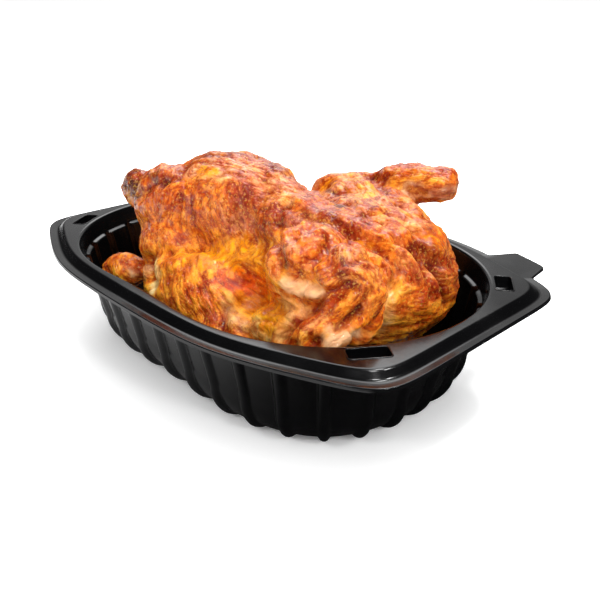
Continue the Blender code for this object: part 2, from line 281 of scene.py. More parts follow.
HIDDEN_GUIDES = {
    "far_leg": ((-6, 52, 79.4), (-4, 56, 55.4), (0, 52, 31.4)),
    "far_leg_rear": ((-50, 40, 81.4), (-52, 46, 55.4), (-40, 46, 31.4)),
    "far_breast": ((40, 58, 91.4), (52, 60, 65.4), (50, 54, 35.4)),
    "rump": ((-78, 0, 85.4), (-84, 0, 61.4), (-80, 0, 33.4)),
    "back": ((-50, 10, 97.4), (0, 18, 103.4), (40, 20, 97.4)),
    "neck_under": ((104, -20, 71.4), (106, 6, 65.4), (98, 34, 61.4)),
    "far_breast_front": ((86, 30, 89.4), (92, 40, 65.4), (84, 44, 39.4)),
}

# ---- the bird's colours

TONES = {
    "amber": (0.93, 0.50, 0.12),
    "gold": (1.00, 0.66, 0.20),
    "yolk": (1.00, 0.66, 0.06),
    "sauce": (1.0, 0.42, 0.0),
    "rust": (0.77, 0.33, 0.10),
    "brown": (0.60, 0.28, 0.13),
    "russet": (0.66, 0.23, 0.07),
    "maroon": (0.46, 0.17, 0.08),
    "char": (0.33, 0.19, 0.19),
    # pale pink for painted sheen and glints on the wet skin
    "rose": (0.93, 0.68, 0.52),
    "flesh": (0.94, 0.74, 0.56),
    "dun": (0.82, 0.62, 0.50),
    "cream": (1.00, 0.91, 0.66),
}

# How much of the fine browning, and of the painted shade and sheen, still shows on the smooth or wet tones
CALM_TONES = {"flesh": 0.15, "dun": 0.45, "cream": 0.3, "yolk": 0.6, "sauce": 0.65, "gold": 0.8}

# Height where the browner upper skin starts, how far it takes to take over, and how much that varies
UPPER_SKIN_FROM = 57.4
UPPER_SKIN_RISE = 34.0
UPPER_SKIN_WANDER = 16.0

# How much brighter the lower skin is painted, as painted light, and how far each later layer takes over
# from the paint below
LOWER_SKIN_PAINTED_LIGHT = 1.08
# painted sheen: the share of pale pink laid over the upper skin
PAINTED_SHEEN_SHARE = 0.12
RED_SPOTS = 0.65
PALE_SPOTS = 0.45
PALE_FLECKS = 0.4
# painted shade: how far the creases and hollows darken the skin's colour
CREASE_SHADE_SHARE = 0.8
HOLLOW_SHADE_SHARE = 0.8

# Painted shade: what the skin's colour is multiplied by in its creases and its hollows
CREASE_SHADE_TINT = (0.74, 0.42, 0.28)
HOLLOW_SHADE_TINT = (0.72, 0.45, 0.32)
HOLLOW_SHADE_DEPTH = 2.6

# Linear colours that the four fine textures lay over the paint
BLOTCH_TINT = (0.56, 0.20, 0.10)
STRAND_TINT = (0.45, 0.15, 0.07)
SPECK_TINT = (0.45, 0.18, 0.09)
FLECK_TINT = (0.62, 0.34, 0.05)

# Strokes of colour on the side that shows first: width, tone, strength and image points
SEEN_STROKES = {
    "crest_back": (5, "brown", 0.7, (160, 162), (200, 158), (240, 155), (276, 160)),
    # painted sheen along the crest
    "crest_painted_sheen_left": (6, "rose", 0.85, (194, 172), (214, 166), (238, 171)),
    "crest_painted_sheen_right": (6, "rose", 0.75, (243, 177), (266, 185), (294, 197)),
    "crest_cream": (3, "cream", 0.6, (204, 180), (226, 178)),
    "crest_amber": (7, "amber", 0.8, (188, 190), (208, 193)),
    "crest_window": (2.5, "yolk", 0.7, (200, 170), (216, 171)),
    "crest_end": (3, "maroon", 0.7, (268, 162), (286, 174)),
    "drumstick_gold": (8, "gold", 0.6, (152, 182), (158, 200), (150, 214)),
    "drumstick_rust": (4, "rust", 0.6, (170, 176), (172, 200)),
    "thigh_rust": (10, "rust", 0.45, (165, 214), (190, 228), (208, 246)),
    "thigh_amber": (8, "amber", 0.6, (150, 226), (178, 238)),
    "left_edge": (6, "rust", 0.7, (141, 214), (139, 238), (148, 262)),
    "red_hollow": (11, "rust", 0.85, (244, 194), (240, 214), (243, 236)),
    # painted shade in the red hollow's fold
    "red_hollow_painted_shade": (3, "maroon", 0.45, (238, 206), (236, 226)),
    "hollow_side": (7, "brown", 0.5, (262, 204), (264, 226)),
    "fat_band": (9, "gold", 0.8, (158, 262), (184, 260), (214, 260), (238, 256)),
    "fat_glow": (9, "yolk", 0.8, (196, 262), (224, 250), (246, 256), (268, 252)),
    "sauce_glow": (8, "yolk", 0.85, (244, 262), (264, 268), (284, 280)),
    "sauce_pool": (8, "sauce", 0.95, (244, 280), (253, 287), (270, 294), (290, 302)),
    "sauce_front": (5, "sauce", 0.7, (258, 302), (284, 308)),
    "flank_gold": (9, "gold", 0.7, (158, 282), (172, 298), (190, 316)),
    "flank_strip_a": (2.2, "rust", 0.8, (176, 272), (174, 298)),
    "flank_strip_b": (3, "rust", 0.75, (188, 270), (190, 306)),
    "flank_strip_c": (3, "rust", 0.75, (204, 276), (208, 318)),
    "drop": (6, "brown", 0.6, (230, 318), (236, 326)),
    "crumb_cream": (8, "cream", 0.6, (240, 312), (262, 322), (282, 330)),
    "crumb_gold": (6, "yolk", 0.85, (250, 306), (276, 316)),
    "crumb_high": (5, "cream", 0.55, (280, 296), (302, 310)),
    "edge_cream": (3, "cream", 0.95, (140, 283), (153, 291)),
    "neck_cream": (3, "cream", 0.8, (155, 262), (158, 276)),
    "knob_amber": (7, "amber", 0.8, (108, 264), (124, 258), (138, 260)),
    "knob_gold": (3, "gold", 0.8, (139, 252), (146, 258)),
    "knob_under": (4, "dun", 0.8, (134, 274), (150, 270)),
    "far_shoulder": (6, "yolk", 0.85, (316, 178), (344, 180), (366, 196)),
    "far_shoulder_tip": (3, "rust", 0.7, (326, 173)),
    # painted sheen across the body
    "streak_painted_sheen": (6, "rose", 0.5, (292, 178), (328, 194), (366, 212)),
    "streak_rust": (4, "rust", 0.6, (306, 204), (340, 216)),
    "char_streak_a": (1.2, "char", 0.55, (325, 190), (338, 196)),
    "char_streak_b": (1.4, "char", 0.75, (327, 200), (342, 207)),
    "far_wing_top": (7, "rust", 1.0, (384, 170), (420, 166), (452, 170)),
    "far_wing_side": (2.5, "gold", 0.8, (394, 185), (420, 182), (452, 180)),
    "far_wing_under": (4, "dun", 0.95, (408, 193), (430, 195), (452, 191)),
    # painted shade in the far wing's cavity
    "far_wing_cavity_painted_shade": (2, "brown", 0.8, (412, 191), (424, 193)),
    "shoulder_brown": (6, "brown", 0.6, (294, 222), (308, 216), (326, 224)),
    "shoulder_amber": (13, "amber", 0.85, (308, 246), (328, 254), (316, 272)),
    "shoulder_ring": (2.4, "russet", 0.6, (300, 240), (312, 230), (328, 236), (334, 252)),
    "shoulder_gold": (6, "gold", 0.6, (302, 264), (318, 276)),
    "dark_edge": (1.6, "char", 0.7, (288, 250), (284, 266)),
    "dark_spot_a": (1.8, "char", 0.8, (343, 258), (345, 264)),
    "dark_spot_b": (2.2, "char", 0.85, (342, 273)),
    "yolk_bit": (2, "yolk", 1.0, (358, 240), (370, 243)),
    "elbow_tan": (12, "brown", 0.4, (350, 266), (368, 272), (378, 286)),
    # painted sheen on the elbow
    "elbow_painted_sheen": (5, "rose", 0.4, (354, 262), (372, 268), (380, 282)),
    "elbow_brown": (5, "brown", 0.5, (350, 284), (366, 290)),
    # painted shade along the wing's edge fold
    "elbow_edge_painted_shade": (1.8, "maroon", 0.8, (391, 272), (388, 292), (377, 314), (362, 328)),
    "flesh_wedge": (3.4, "flesh", 0.9, (284, 281), (290, 290), (300, 290), (320, 294)),
    "wing_arm_rust": (4, "rust", 0.8, (288, 338), (312, 316), (336, 300)),
    # painted sheen on the wing arm
    "wing_arm_painted_sheen": (2, "rose", 0.5, (300, 340), (326, 318)),
    # painted shade in the wing arm's crease
    "wing_arm_painted_shade": (1.8, "maroon", 0.8, (314, 343), (340, 326), (358, 310)),
    "smooth_flesh": (5, "flesh", 0.95, (334, 340), (358, 333), (378, 326)),
    "smooth_side": (4, "flesh", 0.85, (388, 292), (388, 312), (386, 336)),
    "right_gold": (7, "gold", 0.8, (400, 290), (406, 312), (402, 336)),
    "right_glow": (4, "gold", 0.7, (412, 300), (414, 326)),
    "inner_lobe": (7, "amber", 0.65, (396, 242), (414, 264), (424, 292), (424, 322)),
    # painted shade in the neck's hollow and along its fold
    "neck_hollow_painted_shade": (2.2, "maroon", 0.5, (418, 243), (430, 252), (438, 264)),
    "neck_crease_painted_shade": (2.2, "maroon", 0.85, (412, 248), (436, 272), (443, 300), (434, 332)),
    # painted sheen on the outer neck
    "outer_painted_sheen": (6, "rose", 0.55, (410, 206), (440, 230), (456, 260)),
    "outer_amber": (3, "yolk", 0.7, (424, 232), (440, 248)),
    "outer_brown": (5, "brown", 0.6, (448, 250), (456, 280), (450, 306)),
    # painted sheen on the neck
    "neck_painted_sheen": (7, "rose", 0.55, (382, 206), (398, 214), (412, 226)),
    "knuckle_char": (7, "char", 0.9, (128, 184), (136, 192)),
    "knuckle_top": (3.5, "maroon", 0.8, (134, 172), (150, 166)),
    "knuckle_rust": (3, "rust", 0.7, (146, 176), (148, 188)),
}

# Strokes on the sides that show from elsewhere, with points in millimetres
HIDDEN_STROKES = {
    "far_thigh_brown": (16, "rust", 0.7, (-40, 50, 75.4), (-30, 54, 55.4)),
    "far_thigh_gold": (14, "gold", 0.7, (-50, 44, 35.4), (-20, 50, 31.4)),
    "back_brown": (10, "brown", 0.55, (-30, 16, 105.4), (0, 22, 103.4)),
    "rump_gold": (12, "gold", 0.7, (-80, 6, 65.4), (-80, -6, 45.4)),
    "rump_sauce": (5, "sauce", 0.7, (-82, 2, 55.4), (-80, 2, 33.4)),
    "far_breast_rust": (14, "rust", 0.6, (40, 58, 79.4), (60, 58, 65.4)),
    "far_breast_gold": (14, "gold", 0.65, (40, 52, 41.4), (70, 46, 39.4)),
    "neck_brown": (12, "brown", 0.5, (104, 10, 75.4), (100, 30, 71.4)),
    "neck_gold": (12, "gold", 0.6, (96, -10, 45.4), (92, 20, 39.4)),
    "far_wing_back": (6, "rust", 0.6, (44, 58, 97.4), (74, 60, 99.4)),
}


def smooth_step(value):
    """Rise from 0 to 1 with level ends: 3t^2 - 2t^3 of the clipped value."""
    value = np.clip(value, 0.0, 1.0)
    return value * value * (3.0 - 2.0 * value)


def mixed(low, high, share):
    """Straight blend from low to high."""
    return low + (high - low) * share


# ---- mesh and node helpers


def mesh_piece(name, points, faces, smooth=True):
    """A piece from arrays of points in millimetres and of faces."""
    mesh = bpy.data.meshes.new(name)
    mesh.from_pydata((np.asarray(points) * MM).tolist(), [], [list(face) for face in faces])
    mesh.validate()
    if smooth:
        mesh.shade_smooth()
    piece = bpy.data.objects.new(name, mesh)
    bpy.context.scene.collection.objects.link(piece)
    return piece


def frozen(piece, name):
    """Replace a piece by one whose mesh is its evaluated shape."""
    depsgraph = bpy.context.evaluated_depsgraph_get()
    mesh = bpy.data.meshes.new_from_object(piece.evaluated_get(depsgraph))
    mesh.name = name
    bpy.data.objects.remove(piece, do_unlink=True)
    made = bpy.data.objects.new(name, mesh)
    bpy.context.scene.collection.objects.link(made)
    return made


def ring_faces(rows, columns):
    """Quads of a grid whose rows are closed rings."""
    row = np.arange(rows - 1)[:, None] * columns
    column = np.arange(columns)[None, :]
    following = (column + 1) % columns
    corners = (row + following, row + column, row + columns + column, row + columns + following)
    return np.stack(corners, axis=2).reshape(-1, 4)


def ring_bodies(name, bodies, turn=1, first=0, last=0, smooth=True):
    """One mesh of bodies, each given as closed rings in turn.

    The three signs say which way its side faces are wound and its first and last rings are filled,
    where 0 leaves a ring open.
    """
    points, faces = [], []
    for rings in bodies:
        rows, columns = len(rings), len(rings[0])
        start = sum(len(block) for block in points)
        points += list(rings)
        faces += (ring_faces(rows, columns)[:, ::turn] + start).tolist()
        for end, way in ((start, first), (start + (rows - 1) * columns, last)):
            if way:
                faces.append(list(range(end, end + columns))[::way])
    return mesh_piece(name, np.concatenate(points), faces, smooth)


def modify(piece, name, kind, **settings):
    """Add a modifier and its settings."""
    modifier = piece.modifiers.new(name, kind)
    for field, value in settings.items():
        setattr(modifier, field, value)


def dress(piece, material, node_name):
    """Give a piece its material, and tie it to the part: its body, its node and its finish."""
    piece.data.materials.clear()
    piece.data.materials.append(material)
    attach(piece, "root")
    if node_name:
        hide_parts(node_name)


class Nodes:
    """Short calls for building the node tree of a material or a world."""

    def __init__(self, owner, shader="Principled BSDF"):
        self.owner = owner
        self.owner.use_nodes = True
        self.tree = owner.node_tree
        self.shader = self.tree.nodes[shader]

    def add(self, kind, inputs=None, **settings):
        """Add a node: inputs are links or constants, and settings its own fields or else inputs."""
        node = self.tree.nodes.new("ShaderNode" + kind)
        for field, value in settings.items():
            if hasattr(node, field):
                setattr(node, field, value)
            else:
                node.inputs[field.replace("_", " ").title()].default_value = value
        for name, source in (inputs or {}).items():
            if isinstance(source, bpy.types.NodeSocket):
                self.tree.links.new(source, node.inputs[name])
            else:
                node.inputs[name].default_value = source
        return node

    def shade(self, **values):
        """Set constant values on the shader's own sockets."""
        for field, value in values.items():
            self.shader.inputs[field.replace("_", " ")].default_value = value

    def link(self, source, socket):
        """Link a socket to one of the shader's own."""
        self.tree.links.new(source, self.shader.inputs[socket])

    def spread(self, source, low, high, from_low=0.3, from_high=0.7, **settings):
        """Map a texture's useful range onto a range of values."""
        limits = {"From Min": from_low, "From Max": from_high, "To Min": low, "To Max": high}
        return self.add("MapRange", {"Value": source, **limits}, **settings).outputs["Result"]

    def maths(self, operation, first, second, kind="Math"):
        """An operation on two values, or with kind VectorMath on two vectors."""
        return self.add(kind, {0: first, 1: second}, operation=operation).outputs["Value"]

    def by_ray(self, ray, others, these):
        """One value for rays of a kind, such as "Is Camera Ray", and another for all the others."""
        inputs = {"Factor": self.add("LightPath").outputs[ray], "A": others, "B": these}
        return self.add("Mix", inputs).outputs["Result"]

    def noise(self, place, **settings):
        """Fractal noise at a place."""
        return self.add("TexNoise", {"Vector": place}, **settings).outputs["Fac"]

    def bump(self, height, strength, distance, under=None):
        """A bump's normal, on top of another's."""
        inputs = {"Height": height, "Strength": strength, "Distance": distance}
        if under:
            inputs["Normal"] = under
        return self.add("Bump", inputs).outputs["Normal"]


# ---- numpy noise

LATTICE = 32


def lattice_noise(points, size, seed):
    """Random values at the corners of a cubic lattice, blended smoothly in between: -1 to 1."""
    lattice = np.random.default_rng(seed).uniform(-1.0, 1.0, (LATTICE,) * 3)
    place = points / size
    cell = np.floor(place).astype(int)
    part = smooth_step(place - cell)
    total = np.zeros(len(points))
    for corner in itertools.product((0, 1), repeat=3):
        weight = np.prod(np.where(corner, part, 1.0 - part), axis=1)
        index = (cell + corner) % LATTICE
        total += weight * lattice[index[:, 0], index[:, 1], index[:, 2]]
    return total


def fractal_noise(points, size, seed, octaves=3):
    """Sum of lattice noises, each half as large and half as high as the last."""
    layers = [lattice_noise(points, size / 2**k, seed + k) / 2**k for k in range(octaves)]
    return sum(layers)


def ridge_noise(points, size, seed, octaves=3):
    """Noise folded at zero, so that it makes sharp valleys between round humps."""
    layers = [np.abs(lattice_noise(points, size / 2**k, seed + k)) for k in range(octaves)]
    return sum((2 * layer - 0.6) / 2**k for k, layer in enumerate(layers))


# ---- tray


def opening_radius(angle):
    """Oval opening: a mean radius with a two-fold and a four-fold cosine wave."""
    wave = OPENING_OVAL * np.cos(2 * angle) + OPENING_SQUARE * np.cos(4 * angle)
    return OPENING_MEAN * (1.0 + wave)


def foot_radius(angle):
    """The wall's outline carried down to the table: a superellipse |x/a|^n + |y/b|^n = 1."""
    along = np.abs(np.cos(angle)) / FOOT_HALF_LENGTH
    across = np.abs(np.sin(angle)) / FOOT_HALF_WIDTH
    return (along**FOOT_EXPONENT + across**FOOT_EXPONENT) ** (-1.0 / FOOT_EXPONENT)


def octagon_radius(angle, out):
    """Eight straight sides moved outwards; power means of the sides' distances round the corners."""
    cosine = np.abs(np.cos(angle))
    sine = np.abs(np.sin(angle))
    slant = cosine * math.cos(OBLIQUE_ANGLE) + sine * math.sin(OBLIQUE_ANGLE)
    side = (sine / (RIM_HALF_WIDTH + out)) ** CORNER_POWER
    oblique = (slant / (RIM_OBLIQUE + out)) ** CORNER_POWER
    end = (cosine / (RIM_HALF_LENGTH + out)) ** CORNER_POWER
    return (side + oblique + end) ** (-1.0 / CORNER_POWER)


def ring(radius, angle, height):
    """Points of a level outline given by its radius at each angle."""
    height = np.broadcast_to(height, angle.shape)
    return np.stack([radius * np.cos(angle), radius * np.sin(angle), height], axis=1)


def opening_line(angle):
    """Flat points of the opening at some angles."""
    return ring(opening_radius(angle), angle, 0.0)[:, :2]


def even_angles(share):
    """Angles at shares of the opening's own length, found from its summed chords."""
    angle = np.linspace(0.0, 2 * math.pi, OPENING_STEPS)
    steps = np.linalg.norm(np.diff(opening_line(angle), axis=0), axis=1)
    length = np.concatenate([[0.0], np.cumsum(steps)])
    return np.interp(share, length / length[-1], angle)


def rib_height(share, count):
    """Upright ribs: 1 on a crown and 0 on a panel, with a smooth step down each flank."""
    place = np.abs((share * count + 0.5) % 1.0 - 0.5)
    return smooth_step((RIB_FOOT - place) / (RIB_FOOT - RIB_CROWN))


def wall_radius(angle, height, edge_radius, rim_z):
    """r = foot + (opening - foot) max(h, R) / rim, less R - sqrt(R^2 - (R - h)^2) where h < R."""
    foot = foot_radius(angle)
    straight = foot + (opening_radius(angle) - foot) * np.maximum(height, edge_radius) / rim_z
    lean = np.clip(1.0 - height / edge_radius, 0.0, 1.0)
    return straight - edge_radius * (1.0 - np.sqrt(1.0 - lean**2))


def wall_ring(angle, height, edge_radius, panel, rim_z, sheet):
    """Where upright planes square to the opening meet the wall, by Newton steps from the opening."""
    run = opening_line(angle + NORMAL_STEP) - opening_line(angle - NORMAL_STEP)
    inwards = np.stack([-run[:, 1], run[:, 0]], axis=1)
    inwards /= np.linalg.norm(inwards, axis=1)[:, None]
    start = opening_line(angle)
    gap = np.zeros(len(angle))
    for _ in range(WALL_PASSES):
        place = start + inwards * gap[:, None]
        reach = np.linalg.norm(place, axis=1)
        there = np.arctan2(place[:, 1], place[:, 0])
        square = -np.sum(place * inwards, axis=1) / reach
        excess = reach - wall_radius(there, height, edge_radius, rim_z) + panel
        gap += excess / np.maximum(square, STEEPEST)
    place = start + inwards * gap[:, None]
    return np.column_stack([place, np.broadcast_to(sheet + height, angle.shape)])


def with_tab(line):
    """Push the flange's outline out along the oblique side's normal, and lean it along the side."""
    normal = np.array([math.cos(OBLIQUE_ANGLE), math.sin(OBLIQUE_ANGLE), 0.0])
    tangent = np.array([math.sin(OBLIQUE_ANGLE), -math.cos(OBLIQUE_ANGLE), 0.0])
    position = line @ tangent
    neck = smooth_step((position - TAB_START + TAB_NECK) / (2 * TAB_NECK))
    side = smooth_step((TAB_END - position + TAB_STEP) / (2 * TAB_STEP))
    corner = np.clip((TAB_CORNER - TAB_END + position) / TAB_CORNER, 0.0, 1.0)
    reach = neck * side * (TAB_REACH - TAB_CORNER * (1.0 - np.sqrt(1.0 - corner**2)))
    reach = np.where(line[:, 1] > 0.0, reach, 0.0)
    along = np.clip((position - TAB_START) / (TAB_END - TAB_START), 0.0, 1.0)
    lean = reach * mixed(TAB_LEAN_START, TAB_LEAN_END, along)
    return line + reach[:, None] * normal - lean[:, None] * tangent


def rounded_profile(lines, radii, steps=3):
    """Replace each inner ring that has a radius by a fan of rings on a quadratic Bezier fillet."""
    result = [lines[0]]
    for before, here, after, radius in zip(lines, lines[1:], lines[2:], radii[1:]):
        if not radius:
            result.append(here)
            continue
        back = before - here
        ahead = after - here
        back *= np.minimum(radius / np.linalg.norm(back, axis=1), FILLET_SHARE)[:, None]
        ahead *= np.minimum(radius / np.linalg.norm(ahead, axis=1), FILLET_SHARE)[:, None]
        for step in range(steps + 1):
            share = step / steps
            result.append(here + (1 - share) ** 2 * back + share**2 * ahead)
    result.append(lines[-1])
    return result


def tray_lines(settings):
    """Rings of the tray's upper face, from the floor out to the flange's lip."""
    samples = settings.rib_count * settings.rib_samples
    share = (np.arange(samples) + 0.5) / samples
    angle = even_angles(share)
    rib = rib_height(share, settings.rib_count)
    sheet = settings.sheet / MM
    rim_z = settings.rim_height / MM
    panel = settings.rib_depth / MM * (1.0 - rib)
    edge_radius = mixed(PANEL_EDGE_RADIUS, RIB_EDGE_RADIUS, rib)
    lines = []
    for step in range(EDGE_STEPS + 1):
        turn = math.radians(90.0) * (1.0 - step / EDGE_STEPS)
        height = edge_radius * (1.0 - math.sin(turn))
        lines.append(wall_ring(angle, height, edge_radius, panel, rim_z, sheet))
    lines = [lines[0] * (shrink, shrink, 1.0) for shrink in FLOOR_RINGS] + lines
    radii = [0.0] * len(lines)
    ledge = rim_z - sheet - LEDGE_DROP
    low_rim = rim_z - RISER_DROP
    corners = (
        (wall_ring(angle, ledge - LEDGE_ROUND, edge_radius, panel, rim_z, sheet), LEDGE_FOOT_FILLET),
        (wall_ring(angle, ledge, edge_radius, LEDGE_INSET, rim_z, sheet), LEDGE_FILLET),
        (ring(opening_radius(angle) + OPENING_OUT, angle, rim_z), OPENING_FILLET),
        (ring(octagon_radius(angle, 0.0), angle, rim_z), RIM_FILLET),
        (ring(octagon_radius(angle, RISER_OUT), angle, low_rim), RISER_FILLET),
        (with_tab(ring(octagon_radius(angle, FLANGE_OUT), angle, low_rim - FLANGE_DROP)), FLANGE_FILLET),
        (with_tab(ring(octagon_radius(angle, LIP_OUT), angle, low_rim - LIP_DROP)), 0.0),
    )
    for line, radius in corners:
        lines.append(line)
        radii.append(radius)
    return rounded_profile(lines, radii)


def slot_outline(grow, steps=6):
    """Rounded rectangle of a lid slot, grown outwards, as points round its middle."""
    turn = np.linspace(0.0, math.pi / 2, steps)
    radius = SLOT_CORNER + grow
    points = []
    for x_side, y_side, start in ((1, 1, 0.0), (-1, 1, 0.5), (-1, -1, 1.0), (1, -1, 1.5)):
        x = x_side * (SLOT_WIDTH / 2 - SLOT_CORNER) + radius * np.cos(turn + start * math.pi)
        y = y_side * (SLOT_LENGTH / 2 - SLOT_CORNER) + radius * np.sin(turn + start * math.pi)
        points.append(np.stack([x, y], axis=1))
    return np.concatenate(points)


def slot_places():
    """Middle and turn of each lid slot."""
    for x_side, y_side in itertools.product((-1, 1), repeat=2):
        yield x_side * SLOT_X, y_side * SLOT_Y, x_side * y_side * SLOT_TURN


def turned(outline, place, height):
    """Turn an outline about the upright axis and set it down at a place."""
    x, y, turn = place
    cosine, sine = math.cos(turn), math.sin(turn)
    return np.column_stack([
        x + outline[:, 0] * cosine - outline[:, 1] * sine,
        y + outline[:, 0] * sine + outline[:, 1] * cosine,
        np.full(len(outline), height),
    ])


def slot_cutter(rim_z):
    """One mesh of four upright prisms that open the lid slots through the rim."""
    outline = slot_outline(0.0)
    heights = (rim_z - CUTTER_REACH, rim_z + CUTTER_REACH)
    prisms = [[turned(outline, place, height) for height in heights] for place in slot_places()]
    return ring_bodies("slot_cutter", prisms, turn=-1, first=-1, last=1, smooth=False)


def slot_cups(settings):
    """Pockets hung in the slots: a rolled edge on the rim, a wall and a floor, carried round."""
    rim_z = settings.rim_height / MM
    outlines = [(slot_outline(grow), rim_z + z) for grow, z in CUP_PROFILE]
    outlines.append((outlines[-1][0] * CUP_FLOOR_SHRINK, outlines[-1][1]))
    pockets = [[turned(line, place, z) for line, z in outlines] for place in slot_places()]
    cups = ring_bodies("slot_pockets", pockets, last=1)
    modify(cups, "pocket wall", "SOLIDIFY", thickness=CUP_SHEET * MM, offset=1.0)
    return cups


def plastic_material(settings):
    """Black glossy sheet: a faint orange-peel bump and patchy gloss, as on formed plastic."""
    nodes = Nodes(bpy.data.materials.new("black_tray_plastic"))
    place = nodes.add("TexCoord").outputs["Object"]
    mean = settings.plastic_roughness
    patches = nodes.noise(place, scale=38.0, detail=4.0)
    nodes.link(nodes.spread(patches, mean - 0.05, mean + 0.08), "Roughness")
    colours = [(*(level * c for c in settings.plastic_colour), 1.0) for level in (1.0, 1.5)]
    scuff = nodes.spread(nodes.noise(place, scale=900.0, detail=3.0), 0.0, 1.0, 0.35, 0.75)
    shade = nodes.add("MixRGB", {"Fac": scuff, "Color1": colours[0], "Color2": colours[1]})
    nodes.link(shade.outputs["Color"], "Base Color")
    peel = nodes.noise(place, scale=420.0, detail=2.0)
    nodes.link(nodes.bump(peel, strength=0.05, distance=0.0004), "Normal")
    nodes.shade(IOR=1.5, Specular_IOR_Level=settings.plastic_shine)
    return nodes.owner


class TraySettings(bpy.types.PropertyGroup):
    """Sizes and finish of the tray."""

    rim_height: FloatProperty(
        name="Rim height", description="Height of the flat rim above the table", default=62.0 * MM,
        unit="LENGTH")
    sheet: FloatProperty(
        name="Sheet", description="Thickness of the plastic sheet", default=0.9 * MM, unit="LENGTH")
    rib_count: IntProperty(name="Ribs", description="Upright ribs round the wall", default=32)
    rib_samples: IntProperty(
        name="Rib samples", description="Columns of faces to each rib and its panel", default=24)
    rib_depth: FloatProperty(
        name="Rib depth", description="How far a rib stands out of the panels", default=2.6 * MM,
        unit="LENGTH")
    plastic_colour: FloatVectorProperty(
        name="Plastic", description="Colour of the sheet", subtype="COLOR",
        default=(0.0012, 0.0012, 0.0014))
    plastic_roughness: FloatProperty(
        name="Roughness", description="Mean roughness of the sheet", default=0.16)
    plastic_shine: FloatProperty(name="Shine", description="Specular level of the sheet", default=0.4)


class ROAST_OT_tray(bpy.types.Operator):
    """Form the fluted tray and hang the pockets in its lid slots"""

    bl_idname = "roast.tray"
    bl_label = "Tray"

    def execute(self, context):
        settings = context.scene.roast_tray
        tray = ring_bodies("tray_sheet", [tray_lines(settings)], first=1)
        modify(tray, "sheet thickness", "SOLIDIFY", thickness=settings.sheet, offset=-1.0,
               use_even_offset=False)
        cutter = slot_cutter(settings.rim_height / MM)
        modify(tray, "lid slots", "BOOLEAN", operation="DIFFERENCE", object=cutter)
        tray = frozen(tray, "tray_sheet")
        bpy.data.objects.remove(cutter, do_unlink=True)
        tray.data.set_sharp_from_angle(angle=SHARP_EDGE)
        modify(tray, "level flats", "WEIGHTED_NORMAL", keep_sharp=True)
        plastic = plastic_material(settings)
        dress(tray, plastic, "tray")
        dress(slot_cups(settings), plastic, None)
        return {"FINISHED"}


# ---- bird


def lobe_grid(centre, radii, turn, tilt):
    """An ellipsoid as a grid of longitude and latitude, turned about Z after a tilt about Y."""
    across = np.arange(LOBE_ACROSS) * 2 * math.pi / LOBE_ACROSS
    up = np.linspace(LOBE_POLE_GAP - math.pi / 2, math.pi / 2 - LOBE_POLE_GAP, LOBE_UP)
    across, up = np.meshgrid(across, up)
    ball = np.stack([np.cos(across) * np.cos(up), np.sin(across) * np.cos(up), np.sin(up)], axis=2)
    turn, tilt = math.radians(turn), math.radians(tilt)
    lean = np.array([
        [math.cos(tilt), 0.0, -math.sin(tilt)], [0.0, 1.0, 0.0], [math.sin(tilt), 0.0, math.cos(tilt)],
    ])
    swing = np.array([
        [math.cos(turn), -math.sin(turn), 0.0], [math.sin(turn), math.cos(turn), 0.0], [0.0, 0.0, 1.0],
    ])
    return ball * radii @ (swing @ lean).T + centre


def fused_lobes(settings):
    """All lobes in one mesh, fused by a voxel remesh and softened."""
    bodies = [lobe_grid(*lobe) for lobe in LOBES.values()]
    lobes = ring_bodies("lobes", bodies, turn=-1, first=-1, last=1)
    modify(lobes, "fuse", "REMESH", mode="VOXEL", voxel_size=settings.voxel)
    modify(lobes, "soften", "SMOOTH", factor=0.5, iterations=settings.soften)
    return frozen(lobes, "roast_chicken")


def sight_line(pixel):
    """Direction of sight through an image point: forwards plus its offset over the focal length."""
    cos_dip, sin_dip = math.cos(CAMERA_DIP), math.sin(CAMERA_DIP)
    cos_turn, sin_turn = math.cos(CAMERA_HEADING), math.sin(CAMERA_HEADING)
    forward = np.array([cos_dip * cos_turn, cos_dip * sin_turn, -sin_dip])
    right = np.array([sin_turn, -cos_turn, 0.0])
    upward = np.cross(right, forward)
    x = (pixel[0] - IMAGE_CENTRE) / FOCAL_PIXELS
    y = (pixel[1] - IMAGE_CENTRE) / FOCAL_PIXELS
    return forward + x * right - y * upward


